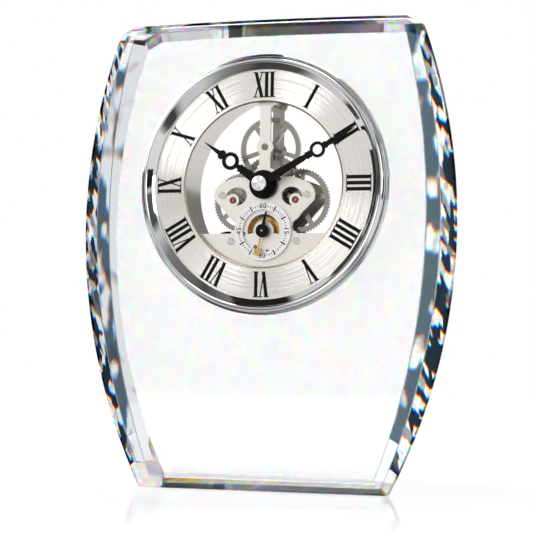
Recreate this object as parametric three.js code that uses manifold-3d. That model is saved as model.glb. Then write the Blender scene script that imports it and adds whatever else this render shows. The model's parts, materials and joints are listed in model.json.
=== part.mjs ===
// Crystal trophy clock: a bevelled barrel-shaped glass block that holds a pressed-in skeleton clock.
// Millimetres, +Z up, the dial faces -Y, and the origin is the middle of the footprint on the table.
import * as THREE from 'three';
import { mergeVertices } from 'three/addons/utils/BufferGeometryUtils.js';
import Module from 'manifold-3d';

// Crystal block
const crystalThickness = 30;
const faceHalfWidth = 66.9;
const faceArcRadius = 289;
const faceArcHeight = 110.5;
const girdleHalfWidth = 78.5;
const girdleArcRadius = 240;
const girdleArcHeight = 108.5;
const backHalfWidth = 72.2;
const crystalHeight = 189.3;
const topBow = 0.7;
const frontBevelDepth = 1.5;
const girdleLand = 4;
const backBevelDepth = 4;
const topBevelDrop = 3.6;
const bottomBevelRise = 5.3;
const cornerCutWidth = 8;
const cornerCutHeight = 5;
const faceCornerCut = 0.6;
const insertHeight = 122.4;

// Fits between pieces that touch or turn in one another
const seatGap = 0.3;
const sideGap = 0.3;

// The cell and its holder lie against the plates' rim, and so set the radius of the plates
const cellRadius = 5.8;
const cellOffset = -18.3;
const cellDrop = 25;
const holderWall = 0.9;
const holderEdgeGap = 0.22;
const plateRadius = Math.hypot(cellOffset, cellDrop) + cellRadius + sideGap + holderWall + holderEdgeGap;
const plateEdgeGap = 0.3;

// Bezel, dial and housing
const bezelRadius = 51.2;
const bezelBaseRadius = 52.4;
const bezelProjection = 4.3;
const bezelBaseDepth = 1.1;
const bezelInnerRadius = 46.2;
const bezelRimWidth = 2.6;
const dialProjection = 1.5;
const dialThickness = 0.5;
const dialRadius = 47;
const dialWindowRadius = 33.1;
const dialLipWidth = 0.7;
const dialLipDrop = 0.35;
const housingWall = 5.1;
const housingInnerRadius = plateRadius + plateEdgeGap;
const housingRadius = housingInnerRadius + housingWall;
const housingFlangeThickness = 0.4;
const housingShortfall = 0.5;
const boreClearance = 1;
const crystalBoreRadius = housingRadius + boreClearance;
const gripRingStart = 7;
const gripRingWidth = 6;
const gripGrooveDepth = 1;

// Depths behind the front face of the crystal
const plateDepth = 0.5;
const plateThickness = 1.2;
const rearPlateDepth = 16.5;
const rearPlateThickness = 1.4;
const hourLayer = 2.4;
const motionLayer = 3.6;
const secondsLayer = 4;
const rightLayer = 5.4;
const topLayer = 7.4;
const centreLayer = 9.4;
const leftLayer = 11.4;
const wheelThickness = 1;
const thinWheel = 0.8;
const pinionOverhang = 0.3;

// Movement plates
const strapHalfWidth = 2.25;
const strapEndFlare = 1.6;
const armHeight = 3.1;
const armDip = 0.9;
const legFoot = 12.6;
const legFootDrop = 15;
const legFlare = 1.9;
const windowOffset = 11.8;
const windowDrop = 4.7;
const windowHalfWidth = 4.5;
const windowHalfHeight = 3.7;
const windowTilt = 0.25;
const legNotchOffset = 14.2;
const legNotchDrop = 16.6;
const legNotchRadius = 2.4;
const plateCurveSteps = 28;
const plateSides = 28;
const hubDiscRadius = 7.2;
const lobeOffset = 18;
const lobeDrop = 4;
const lobeRadius = 3.1;
const bossRadius = 2.6;
const bossArmLength = 4.5;
const bossArmWidth = 2.4;
const eyeRadius = 3.4;
const pillarRadius = 1.8;
const topPillarInset = 3.8;
const topPillarHeight = plateRadius - topPillarInset;
const sidePillarInset = 2.2;
const sidePillarOffset = 28.5;
const sidePillarDrop = Math.sqrt((plateRadius - sidePillarInset) ** 2 - sidePillarOffset ** 2);
const pillarEdge = 0.6;
const chordDrop = sidePillarDrop - pillarRadius - pillarEdge;
const pillarScrewRadius = 0.8;
const screwHeadRadius = 1.35;
const screwHeadHeight = 0.6;
const screwSlotWidth = 0.35;
const screwSlotDepth = 0.3;
const pillarScrewReach = 3.5;
const plateScrewOffset = 13.9;
const plateScrewDrop = 22.6;
const lobeScrewRadius = 0.7;
const plateScrewLength = 2.4;

// Wheel train: tooth counts, modules and arbors
const arborRadius = 0.8;
const thinArborRadius = 0.5;
const pivotRadius = 0.5;
const thinPivotRadius = 0.4;
const jewelRadius = 1.2;
const wheelSpokes = 5;
const wheelHubRadius = 3;
const spokeHalfWidth = 0.9;
const toothHeight = 0.5;
const toothRoot = 1.2;
const wheelSpread = 14.6;
const wheelDroop = 25;
const topWheelRise = 15.2;
const secondsDrop = 18.6;
const pinionTeeth = 8;
const centreTeeth = 60;
const rightTeeth = 60;
const topTeeth = 72;
const topPinionTeeth = 13;
const leftTeeth = 60;
const thirdPinionTeeth = 12;
const leftModule = 0.4;
const thirdTeeth = 64;
const thirdModule = 0.2;
const thirdFromSeconds = 8.4;
const secondsTeeth = 40;
const secondsModule = 0.3;
const stepTeeth = 48;
const stepModule = 0.2;
const rotorBearing = -20;
const motionSpread = 6.6;
const motionBearing = 20;
const cannonTeeth = 12;
const minuteWheelTeeth = 36;
const minutePinionTeeth = 10;
const hourTeeth = 40;

// Centre pieces and hands
const centreArborRadius = 0.75;
const cannonRadius = 1.6;
const hourPipeRadius = 2.5;
const hubCollarRadius = 5.8;
const hubCollarDepth = -1.2;
const hubCollarThickness = 1;
const hourHandDepth = -2.9;
const minuteHandDepth = -4;
const handThickness = 0.5;
const pipeProud = 0.2;
const beadLength = 0.8;
const stemHalfWidth = 0.95;
const handTipHalfWidth = 0.12;
const hourHandLength = 29.9;
const minuteHandLength = 44.2;
const hourRingCentre = 16.4;
const hourRingRadius = 3.6;
const minuteRingCentre = 27;
const minuteRingRadius = 3.2;
const hourRingHole = 2.1;
const minuteRingHole = 2;
const hourBossRadius = 4.6;
const minuteBossRadius = 3.7;
const capRadius = 3.1;
const capFrontDepth = -6.5;
const capBore = 0.75;
const hourShown = 10;
const minutesShown = 10.1;
const knobRadius = 6.5;
const knobLength = 6;
const knobDepth = crystalThickness - capFrontDepth - knobLength;
const knobFlutes = 12;
const knobFluteRadius = 0.8;

// Seconds dial and hand
const secondsDialRadius = 11.9;
const secondsDialWindow = 8.6;
const secondsDialDepth = -0.6;
const secondsDialThickness = 0.8;
const arcSlotInner = 4.2;
const arcSlotOuter = 6.8;
const arcSlotDroop = 0.19;
const secondsHandDepth = -1.5;
const secondsHandThickness = 0.4;
const secondsHandLength = 7.4;
const secondsTailLength = 7.2;
const secondsTailDisc = 1.5;
const secondsBossRadius = 2.3;
const secondsNow = 2;

// Stepper motor, circuit and cell
const rotorRadius = 2.4;
const rotorFront = 6.4;
const rotorLength = 2.4;
const statorFront = 7.2;
const statorThickness = 0.8;
const statorWidth = 4.3;
const coilCentre = 14.5;
const coilDrop = 30;
const coilLength = 9;
const coilRadius = 2.5;
const coilCoreRadius = 1;
const coilCoreLength = 13;
const cellFront = 10.2;
const cellThickness = 5.4;
const circuitOffset = 15;
const circuitDrop = 26.5;
const circuitWidth = 14;
const circuitHeight = 7;
const circuitThickness = 1;

const wasm = await Module();
wasm.setup();
const faceY = -crystalThickness / 2;
const clock = new THREE.Group();

const finishes = {
  crystal: { color: 0xf2f6f8, roughness: 0.02, metalness: 0, transparent: true, opacity: 0.4 },
  chrome: { color: 0xdfe0e2, roughness: 0.12, metalness: 1 },
  dial: { color: 0xe1dcd4, roughness: 0.35, metalness: 0.8 },
  housing: { color: 0xb9b6b2, roughness: 0.4, metalness: 0.9 },
  nickel: { color: 0xe4ddd3, roughness: 0.35, metalness: 0.8 },
  steel: { color: 0xbfbdba, roughness: 0.25, metalness: 1 },
  brass: { color: 0xb87a2b, roughness: 0.3, metalness: 1 },
  black: { color: 0x0b0b0c, roughness: 0.4, metalness: 0.2 },
  white: { color: 0xf3f2ee, roughness: 0.5, metalness: 0 },
  ruby: { color: 0x9c1226, roughness: 0.1, metalness: 0 },
  copper: { color: 0x9b4a1c, roughness: 0.4, metalness: 0.8 },
  board: { color: 0x1e5a34, roughness: 0.6, metalness: 0 },
  rubber: { color: 0x1c1c1e, roughness: 0.8, metalness: 0 },
};

// Solid helpers

function cleaned(geometry) {
  geometry.deleteAttribute('normal');
  geometry.deleteAttribute('uv');
  const merged = mergeVertices(geometry, 1e-4);
  const index = merged.index.array;
  const position = merged.attributes.position;
  const a = new THREE.Vector3();
  const b = new THREE.Vector3();
  const c = new THREE.Vector3();
  let volume = 0;
  for (let i = 0; i < index.length; i += 3) {
    a.fromBufferAttribute(position, index[i]);
    b.fromBufferAttribute(position, index[i + 1]);
    c.fromBufferAttribute(position, index[i + 2]);
    volume += a.dot(b.cross(c));
  }
  if (volume < 0) {
    for (let i = 0; i < index.length; i += 3) {
      [index[i], index[i + 1]] = [index[i + 1], index[i]];
    }
  }
  return merged;
}

function toSolid(geometry) {
  const merged = cleaned(geometry);
  return new wasm.Manifold(new wasm.Mesh({
    numProp: 3,
    vertProperties: new Float32Array(merged.attributes.position.array),
    triVerts: new Uint32Array(merged.index.array),
  }));
}

function toGeometry(solid) {
  const mesh = solid.getMesh();
  const geometry = new THREE.BufferGeometry();
  geometry.setAttribute('position', new THREE.BufferAttribute(new Float32Array(mesh.vertProperties), 3));
  geometry.setIndex(new THREE.BufferAttribute(new Uint32Array(mesh.triVerts), 1));
  return geometry;
}

// A flat shape drawn in X and Z, given a thickness along Y from depth front backwards
function slab(shape, front, thickness, curveSegments = 8) {
  const geometry = new THREE.ExtrudeGeometry(shape, { depth: thickness, bevelEnabled: false, curveSegments });
  geometry.rotateX(Math.PI / 2);
  geometry.translate(0, front + thickness, 0);
  return geometry;
}

function disc(radius, front, thickness, sides = 16, x = 0, z = 0) {
  const geometry = new THREE.CylinderGeometry(radius, radius, thickness, sides);
  geometry.translate(x, front + thickness / 2, z);
  return geometry;
}

// A turned piece on the Y axis: profile points are radius and depth, and the profile closes on itself
function turned(profile, sides = 48) {
  const points = profile.map(([radius, depth]) => new THREE.Vector2(radius, depth));
  points.push(points[0].clone());
  return new THREE.LatheGeometry(points, sides);
}

function ring(outer, inner, front, thickness, sides = 48) {
  const back = front + thickness;
  return turned([[inner, front], [outer, front], [outer, back], [inner, back]], sides);
}

function polygon(points) {
  return new THREE.Shape(points.map(([x, z]) => new THREE.Vector2(x, z)));
}

function circlePath(radius, x = 0, z = 0) {
  const path = new THREE.Path();
  path.absarc(x, z, radius, 0, 2 * Math.PI, true);
  return path;
}

function box(width, depth, height, x, y, z) {
  const geometry = new THREE.BoxGeometry(width, depth, height);
  geometry.translate(x, y, z);
  return geometry;
}

// Places a piece on the insert's axes: x and z from the dial's centre, depths from the crystal's face
function add(name, geometry, finish, x = 0, z = 0, turn = 0) {
  const mesh = new THREE.Mesh(cleaned(geometry), new THREE.MeshStandardMaterial(finishes[finish]));
  mesh.name = name;
  mesh.position.set(x, faceY, insertHeight + z);
  mesh.rotation.y = turn;
  clock.add(mesh);
}

// Crystal

function outlineAtDepth(halfWidth, arcRadius, arcHeight, low, high, cutWidth, cutHeight) {
  const edge = (z) => halfWidth - arcRadius + Math.sqrt(arcRadius ** 2 - (z - arcHeight) ** 2);
  const sideSteps = 18;
  const topSteps = 8;
  const right = [];
  const sideTop = high - cutHeight;
  const sideLow = low + faceCornerCut;
  right.push([edge(sideLow) - faceCornerCut, low]);
  for (let i = 0; i <= sideSteps; i += 1) {
    const z = sideLow + ((sideTop - sideLow) * i) / sideSteps;
    right.push([edge(z), z]);
  }
  const topHalf = edge(high) - cutWidth;
  for (let i = 0; i <= topSteps / 2; i += 1) {
    const x = topHalf * (1 - (2 * i) / topSteps);
    right.push([x, high + topBow * (1 - (x / topHalf) ** 2)]);
  }
  const left = right.slice(0, -1).reverse().map(([x, z]) => [-x, z]);
  return right.concat(left);
}

function loft(sections) {
  const count = sections[0].points.length;
  const position = [];
  const index = [];
  for (const { y, points } of sections) {
    for (const [x, z] of points) {
      position.push(x, y, z);
    }
  }
  for (let s = 0; s + 1 < sections.length; s += 1) {
    for (let i = 0; i < count; i += 1) {
      const a = s * count + i;
      const b = s * count + ((i + 1) % count);
      index.push(a, b, a + count, b, b + count, a + count);
    }
  }
  const cap = THREE.ShapeUtils.triangulateShape(
    sections[0].points.map(([x, z]) => new THREE.Vector2(x, z)), []);
  const last = (sections.length - 1) * count;
  for (const [a, b, c] of cap) {
    index.push(b, a, c);
    index.push(last + a, last + b, last + c);
  }
  const geometry = new THREE.BufferGeometry();
  geometry.setAttribute('position', new THREE.Float32BufferAttribute(position, 3));
  geometry.setIndex(index);
  return geometry;
}

function crystalBlock() {
  const half = crystalThickness / 2;
  const taperStart = frontBevelDepth + girdleLand;
  const taperEnd = crystalThickness;
  const bevelStart = crystalThickness - backBevelDepth;
  const share = (bevelStart - taperStart) / (taperEnd - taperStart);
  const waist = girdleHalfWidth + (backHalfWidth - girdleHalfWidth) * share;
  const faceHigh = crystalHeight - topBow - topBevelDrop;
  const bodyHigh = crystalHeight - topBow;
  const girdle = outlineAtDepth(girdleHalfWidth, girdleArcRadius, girdleArcHeight, 0, bodyHigh,
    cornerCutWidth, cornerCutHeight);
  const solid = toSolid(loft([
    { y: -half, points: outlineAtDepth(faceHalfWidth, faceArcRadius, faceArcHeight, bottomBevelRise, faceHigh,
      faceCornerCut, faceCornerCut) },
    { y: -half + frontBevelDepth, points: girdle },
    { y: -half + taperStart, points: girdle },
    { y: -half + bevelStart, points: outlineAtDepth(waist, girdleArcRadius, girdleArcHeight, 0, bodyHigh,
      cornerCutWidth, cornerCutHeight) },
    { y: half, points: outlineAtDepth(backHalfWidth, girdleArcRadius, girdleArcHeight, bottomBevelRise, faceHigh,
      cornerCutWidth, cornerCutHeight) },
  ]));
  const bore = toSolid(disc(crystalBoreRadius, -1, crystalThickness + 2, 72).translate(0, -half, insertHeight));
  const mesh = new THREE.Mesh(toGeometry(solid.subtract(bore)), new THREE.MeshStandardMaterial(finishes.crystal));
  mesh.name = 'crystal_block';
  clock.add(mesh);
}

// Bezel, dial, housing and grip ring

function insertShell() {
  const crest = bezelRadius - bezelRimWidth / 2;
  const recess = dialRadius + sideGap;
  const lipBack = -dialProjection - seatGap;
  add('bezel_ring', turned([
    [recess, -seatGap], [bezelBaseRadius, -seatGap], [bezelBaseRadius, -bezelBaseDepth],
    [bezelRadius, -bezelBaseDepth - 0.7], [bezelRadius, -bezelProjection + 0.5], [crest, -bezelProjection],
    [crest - bezelRimWidth / 2, -bezelProjection + 0.25], [bezelInnerRadius, lipBack - 0.35],
    [bezelInnerRadius, lipBack], [recess, lipBack],
  ], 48), 'chrome');
  add('dial_ring', turned([
    [dialRadius, -dialProjection], [dialRadius, -dialProjection + dialThickness],
    [dialWindowRadius, -dialProjection + dialThickness], [dialWindowRadius, -dialProjection + dialLipDrop],
    [dialWindowRadius + dialLipWidth, -dialProjection],
  ], 48), 'dial');
  const flangeFront = -dialProjection + dialThickness + seatGap;
  const flangeBack = flangeFront + housingFlangeThickness;
  const housingEnd = crystalThickness - housingShortfall;
  const grooveFloor = housingRadius - gripGrooveDepth;
  add('movement_housing', turned([
    [housingInnerRadius, flangeFront], [dialRadius, flangeFront], [dialRadius, flangeBack],
    [housingRadius, flangeBack], [housingRadius, gripRingStart], [grooveFloor, gripRingStart],
    [grooveFloor, gripRingStart + gripRingWidth], [housingRadius, gripRingStart + gripRingWidth],
    [housingRadius, housingEnd], [housingInnerRadius, housingEnd],
  ], 48), 'housing');
  add('grip_ring', ring(crystalBoreRadius - sideGap, grooveFloor + sideGap, gripRingStart + seatGap,
    gripRingWidth - 2 * seatGap, 48), 'rubber');
}

// Places of the arbors, from the dial's centre

function meetPoint(a, distanceA, b, distanceB, side) {
  const dx = b.x - a.x;
  const dz = b.z - a.z;
  const d = Math.hypot(dx, dz);
  const along = (distanceA ** 2 - distanceB ** 2 + d * d) / (2 * d);
  const across = side * Math.sqrt(distanceA ** 2 - along ** 2);
  return { x: a.x + (along * dx - across * dz) / d, z: a.z + (along * dz + across * dx) / d };
}

function polar(centre, distance, degrees) {
  const angle = (degrees * Math.PI) / 180;
  return { x: centre.x + distance * Math.cos(angle), z: centre.z + distance * Math.sin(angle) };
}

const centre = { x: 0, z: 0 };
const right = polar(centre, wheelSpread, -wheelDroop);
const left = polar(centre, wheelSpread, 180 + wheelDroop);
const top = { x: 0, z: topWheelRise };
const seconds = { x: 0, z: -secondsDrop };
const leftSpan = (leftModule * (leftTeeth + thirdPinionTeeth)) / 2;
const third = meetPoint(left, leftSpan, seconds, thirdFromSeconds, -1);
const thirdSpan = (thirdModule * (thirdTeeth + pinionTeeth)) / 2;
const secondsSpan = (secondsModule * (secondsTeeth + pinionTeeth)) / 2;
const step = meetPoint(third, thirdSpan, seconds, secondsSpan, -1);
const stepSpan = (stepModule * (stepTeeth + pinionTeeth)) / 2;
const rotor = polar(step, stepSpan, rotorBearing);
const motion = polar(centre, motionSpread, motionBearing);

function bearing(from, to) {
  return Math.atan2(to.z - from.z, to.x - from.x);
}

// Toothed wheels

function toothedShape(teeth, module, phase) {
  const pitchRadius = (module * teeth) / 2;
  const tipRadius = pitchRadius + toothHeight * module;
  const rootRadius = pitchRadius - toothRoot * module;
  const pitch = (2 * Math.PI) / teeth;
  const points = [];
  for (let i = 0; i < teeth; i += 1) {
    const middle = phase + i * pitch;
    for (const [radius, angle] of [[tipRadius, middle], [rootRadius, middle + pitch / 2]]) {
      points.push([radius * Math.cos(angle), radius * Math.sin(angle)]);
    }
  }
  return polygon(points);
}

// A tooth of the driver lies on the line of centres, and a gap of the driven gear lies there
function phaseOf(self, mate, teeth, hasTooth) {
  return bearing(self, mate) + (hasTooth ? 0 : Math.PI / teeth);
}

function spokedWheel(teeth, module, phase, front, thickness, bore) {
  const shape = toothedShape(teeth, module, phase);
  const rimRadius = (module * teeth) / 2 - toothRoot * module - 0.13 * module * teeth * 0.5;
  shape.holes.push(circlePath(bore));
  for (let i = 0; i < wheelSpokes; i += 1) {
    const from = phase + (i * 2 * Math.PI) / wheelSpokes;
    const to = from + (2 * Math.PI) / wheelSpokes;
    const outerTrim = spokeHalfWidth / rimRadius;
    const innerTrim = spokeHalfWidth / wheelHubRadius;
    const path = new THREE.Path();
    path.absarc(0, 0, rimRadius, from + outerTrim, to - outerTrim, false);
    path.lineTo(wheelHubRadius * Math.cos(to - innerTrim), wheelHubRadius * Math.sin(to - innerTrim));
    path.lineTo(wheelHubRadius * Math.cos(from + innerTrim), wheelHubRadius * Math.sin(from + innerTrim));
    shape.holes.push(path);
  }
  return slab(shape, front, thickness, 3);
}

function plainWheel(teeth, module, phase, front, thickness, bore) {
  const shape = toothedShape(teeth, module, phase);
  if (bore > 0) {
    shape.holes.push(circlePath(bore));
  }
  return slab(shape, front, thickness, 5);
}

const arborFront = plateDepth;
const arborBack = rearPlateDepth + rearPlateThickness;

// An arbor with thin pivots in both plates and, where given, a pinion cut on it
function arborGeometry(pinions, frontEnd = arborFront, thin = false) {
  const shoulder = 0.3;
  const backEnd = arborBack;
  const body = thin ? thinArborRadius : arborRadius;
  const pivot = thin ? thinPivotRadius : pivotRadius;
  const frontShoulder = plateDepth + plateThickness + shoulder;
  const backShoulder = rearPlateDepth - shoulder;
  let solid = toSolid(turned([
    [0, frontEnd], [pivot, frontEnd], [pivot, frontShoulder], [body, frontShoulder],
    [body, backShoulder], [pivot, backShoulder], [pivot, backEnd], [0, backEnd],
  ], 12));
  for (const { teeth, module, phase, front, thickness } of pinions) {
    solid = solid.add(toSolid(plainWheel(teeth, module, phase, front - pinionOverhang,
      thickness + 2 * pinionOverhang, 0)));
  }
  return toGeometry(solid);
}

const wheelBore = arborRadius + sideGap;
const centreModule = (2 * wheelSpread) / (centreTeeth + pinionTeeth);
const rightModule = (2 * wheelSpread) / (rightTeeth + pinionTeeth);
const topModule = (2 * topWheelRise) / (topTeeth + topPinionTeeth);
const minuteModule = (2 * motionSpread) / (cannonTeeth + minuteWheelTeeth);
const hourModule = (2 * motionSpread) / (minutePinionTeeth + hourTeeth);

function visibleWheels() {
  add('centre_wheel', spokedWheel(centreTeeth, centreModule, phaseOf(centre, left, centreTeeth, true), centreLayer,
    wheelThickness, centreArborRadius + sideGap), 'steel');
  add('right_wheel', spokedWheel(rightTeeth, rightModule, phaseOf(right, centre, rightTeeth, true), rightLayer,
    wheelThickness, wheelBore), 'steel', right.x, right.z);
  add('right_arbor', arborGeometry([]), 'steel', right.x, right.z);
  add('top_wheel', spokedWheel(topTeeth, topModule, phaseOf(top, centre, topTeeth, true), topLayer,
    wheelThickness, wheelBore), 'steel', top.x, top.z);
  add('top_arbor', arborGeometry([]), 'steel', top.x, top.z);
  add('left_wheel', spokedWheel(leftTeeth, leftModule, phaseOf(left, third, leftTeeth, true), leftLayer,
    wheelThickness, wheelBore), 'steel', left.x, left.z);
  add('left_arbor', arborGeometry([{ teeth: pinionTeeth, module: centreModule, front: centreLayer,
    thickness: wheelThickness, phase: phaseOf(left, centre, pinionTeeth, false) }]), 'steel', left.x, left.z);
}

function secondsTrain() {
  add('third_wheel', plainWheel(thirdTeeth, thirdModule, phaseOf(third, step, thirdTeeth, true), topLayer,
    thinWheel, wheelBore), 'brass', third.x, third.z);
  add('third_arbor', arborGeometry([{ teeth: thirdPinionTeeth, module: leftModule, front: leftLayer,
    thickness: wheelThickness, phase: phaseOf(third, left, thirdPinionTeeth, false) }]), 'steel', third.x, third.z);
  add('seconds_wheel', plainWheel(secondsTeeth, secondsModule, phaseOf(seconds, step, secondsTeeth, true),
    secondsLayer, thinWheel, wheelBore), 'brass', seconds.x, seconds.z);
  const handEnd = secondsHandDepth - secondsHandThickness;
  add('seconds_arbor', arborGeometry([], handEnd), 'steel', seconds.x, seconds.z);
  const stepPinion = (module, mate, front) => ({ teeth: pinionTeeth, module, front, thickness: thinWheel,
    phase: phaseOf(step, mate, pinionTeeth, false) });
  add('step_pinion', arborGeometry([stepPinion(secondsModule, seconds, secondsLayer),
    stepPinion(thirdModule, third, topLayer)], arborFront, true), 'steel', step.x, step.z);
  add('step_wheel', plainWheel(stepTeeth, stepModule, phaseOf(step, rotor, stepTeeth, true), centreLayer,
    thinWheel, thinArborRadius + sideGap), 'brass', step.x, step.z);
  const magnet = toSolid(disc(rotorRadius, rotorFront, rotorLength, 20));
  const shaft = toSolid(arborGeometry([{ teeth: pinionTeeth, module: stepModule, front: centreLayer,
    thickness: thinWheel, phase: phaseOf(rotor, step, pinionTeeth, false) }], arborFront, true));
  add('rotor', toGeometry(shaft.add(magnet)), 'steel', rotor.x, rotor.z);
}

// Motion work and everything on the centre arbor

function centrePieces() {
  const arborEnd = knobDepth + knobLength - 1;
  let arbor = toSolid(turned([[0, capFrontDepth + 1], [centreArborRadius, capFrontDepth + 1],
    [centreArborRadius, arborEnd], [0, arborEnd]], 16));
  arbor = arbor.add(toSolid(plainWheel(pinionTeeth, rightModule, phaseOf(centre, right, pinionTeeth, false),
    rightLayer - pinionOverhang, wheelThickness + 2 * pinionOverhang, 0)));
  arbor = arbor.add(toSolid(plainWheel(topPinionTeeth, topModule, phaseOf(centre, top, topPinionTeeth, false),
    topLayer - pinionOverhang, wheelThickness + 2 * pinionOverhang, 0)));
  add('centre_arbor', toGeometry(arbor), 'steel');

  const cannonBore = centreArborRadius + sideGap;
  const cannonFront = minuteHandDepth - pipeProud;
  const cannonPipe = toSolid(ring(cannonRadius, cannonBore, cannonFront, motionLayer - cannonFront, 20));
  const cannonPinion = toSolid(plainWheel(cannonTeeth, minuteModule, phaseOf(centre, motion, cannonTeeth, false),
    motionLayer, thinWheel, cannonBore));
  add('cannon_pinion', toGeometry(cannonPipe.add(cannonPinion)), 'steel');

  const hourBore = cannonRadius + sideGap;
  const hourFront = hourHandDepth - pipeProud;
  let hourWheel = toSolid(ring(hourPipeRadius, hourBore, hourFront, hourLayer + thinWheel - hourFront, 24));
  hourWheel = hourWheel.add(toSolid(plainWheel(hourTeeth, hourModule, phaseOf(centre, motion, hourTeeth, true),
    hourLayer, thinWheel, hourBore)));
  add('hour_wheel', toGeometry(hourWheel), 'steel');
  add('hub_collar', ring(hubCollarRadius, hourPipeRadius + sideGap, hubCollarDepth, hubCollarThickness, 40), 'black');

  const postRadius = pivotRadius;
  let minuteWheel = toSolid(plainWheel(minuteWheelTeeth, minuteModule,
    phaseOf(motion, centre, minuteWheelTeeth, true), motionLayer, thinWheel, postRadius + 0.25));
  minuteWheel = minuteWheel.add(toSolid(plainWheel(minutePinionTeeth, hourModule,
    phaseOf(motion, centre, minutePinionTeeth, false), hourLayer, motionLayer - hourLayer, postRadius + 0.25)));
  add('minute_wheel', toGeometry(minuteWheel), 'brass', motion.x, motion.z);
  const headRadius = 1.1;
  const postEnd = motionLayer + thinWheel + seatGap;
  add('minute_wheel_post', turned([
    [0, plateDepth], [postRadius, plateDepth], [postRadius, postEnd], [headRadius, postEnd],
    [headRadius, postEnd + 0.4], [0, postEnd + 0.4],
  ], 12), 'steel', motion.x, motion.z);

  add('setting_knob', settingKnob(), 'chrome');
}

function settingKnob() {
  const blank = toSolid(turned([
    [centreArborRadius + sideGap, knobDepth], [knobRadius - 0.6, knobDepth], [knobRadius, knobDepth + 0.6],
    [knobRadius, knobDepth + knobLength - 0.6], [knobRadius - 0.6, knobDepth + knobLength],
    [0, knobDepth + knobLength], [0, knobDepth + knobLength - 1 + seatGap],
    [centreArborRadius + sideGap, knobDepth + knobLength - 1 + seatGap],
  ], 24));
  let knob = blank;
  for (let i = 0; i < knobFlutes; i += 1) {
    const angle = (i * 2 * Math.PI) / knobFlutes;
    knob = knob.subtract(toSolid(disc(knobFluteRadius, knobDepth - 1, knobLength + 2, 6,
      knobRadius * Math.cos(angle), knobRadius * Math.sin(angle))));
  }
  return toGeometry(knob);
}

// Hands: outlines as distance from the centre and half width

function handShape(outline, ringCentre, ringRadius, ringHole, bossRadius, bore) {
  const stem = outline.filter(([distance]) => distance < ringCentre);
  const blade = outline.filter(([distance]) => distance > ringCentre);
  const band = (steps) => polygon(steps.map(([d, w]) => [-w, d]).concat(
    steps.slice().reverse().map(([d, w]) => [w, d])));
  let solid = toSolid(slab(band(stem), 0, handThickness));
  const last = blade[blade.length - 1];
  solid = solid.add(toSolid(slab(band(blade.slice(0, -1).concat([[last[0], handTipHalfWidth]])), 0, handThickness)));
  solid = solid.add(toSolid(disc(ringRadius, 0, handThickness, 32, 0, ringCentre)));
  solid = solid.add(toSolid(disc(bossRadius, 0, handThickness, 32)));
  solid = solid.subtract(toSolid(disc(ringHole, -1, handThickness + 2, 28, 0, ringCentre)));
  solid = solid.subtract(toSolid(disc(bore, -1, handThickness + 2, 24)));
  return toGeometry(solid);
}

function hands() {
  const minuteTurn = (minutesShown / 60) * 2 * Math.PI;
  const hourTurn = ((hourShown + minutesShown / 60) / 12) * 2 * Math.PI;
  const hourRingEnd = hourRingCentre + hourRingRadius;
  const hourRingStart = hourRingCentre - hourRingRadius;
  const hourHand = handShape([
    [hourBossRadius - beadLength, 2.4 * beadLength], [hourRingStart - 4 * beadLength, 1.9 * beadLength],
    [hourRingStart - 3.7 * beadLength, 2.4 * beadLength], [hourRingStart - 2.7 * beadLength, 1.7 * beadLength],
    [hourRingStart - 1.7 * beadLength, 2.3 * beadLength], [hourRingStart - beadLength, stemHalfWidth],
    [hourRingStart + beadLength / 2, stemHalfWidth], [hourRingEnd - beadLength / 2, stemHalfWidth],
    [hourRingEnd + beadLength / 2, 2.4 * beadLength], [hourRingEnd + 2 * beadLength, 2.4 * beadLength],
    [hourRingEnd + 3 * beadLength, stemHalfWidth], [hourHandLength, 0],
  ], hourRingCentre, hourRingRadius, hourRingHole, hourBossRadius, hourPipeRadius + sideGap);
  add('hour_hand', hourHand.translate(0, hourHandDepth, 0), 'black', 0, 0, hourTurn);
  const minuteRingEnd = minuteRingCentre + minuteRingRadius;
  const minuteRingStart = minuteRingCentre - minuteRingRadius;
  const minuteHand = handShape([
    [minuteBossRadius - beadLength, 2.2 * beadLength], [minuteRingStart - 5 * beadLength, 1.5 * beadLength],
    [minuteRingStart - 3 * beadLength, stemHalfWidth], [minuteRingStart - 2.2 * beadLength, 2 * beadLength],
    [minuteRingStart - 1.2 * beadLength, 1.5 * beadLength], [minuteRingStart - beadLength / 2, 1.9 * beadLength],
    [minuteRingStart + beadLength / 2, stemHalfWidth], [minuteRingEnd - beadLength / 2, stemHalfWidth],
    [minuteRingEnd + beadLength / 2, 1.9 * beadLength], [minuteRingEnd + 2 * beadLength, stemHalfWidth],
    [minuteRingEnd + 4 * beadLength, 1.5 * beadLength], [minuteHandLength, 0],
  ], minuteRingCentre, minuteRingRadius, minuteRingHole, minuteBossRadius, cannonRadius + sideGap);
  add('minute_hand', minuteHand.translate(0, minuteHandDepth, 0), 'black', 0, 0, minuteTurn);

  const capBack = minuteHandDepth - pipeProud - seatGap;
  add('hand_nut', turned([
    [0, capFrontDepth], [capRadius - 0.3, capFrontDepth], [capRadius, capFrontDepth + 0.3],
    [capRadius, capBack], [capBore + sideGap, capBack], [capBore + sideGap, capFrontDepth + 1 - seatGap],
    [0, capFrontDepth + 1 - seatGap],
  ], 32), 'steel');
}

function secondsHandGeometry() {
  const band = (from, to, fromHalf, toHalf) => toSolid(slab(polygon([
    [-fromHalf, from], [-toHalf, to], [toHalf, to], [fromHalf, from]]), 0, secondsHandThickness));
  let solid = toSolid(disc(secondsBossRadius, 0, secondsHandThickness, 24));
  solid = solid.add(band(0, secondsHandLength, 0.9, 0.2));
  solid = solid.add(band(0, -secondsTailLength, 0.35, 0.3));
  solid = solid.add(toSolid(disc(secondsTailDisc, 0, secondsHandThickness, 16, 0, -secondsTailLength)));
  solid = solid.subtract(toSolid(disc(pivotRadius + sideGap, -1, 3, 12)));
  return toGeometry(solid).translate(0, secondsHandDepth, 0);
}

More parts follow.
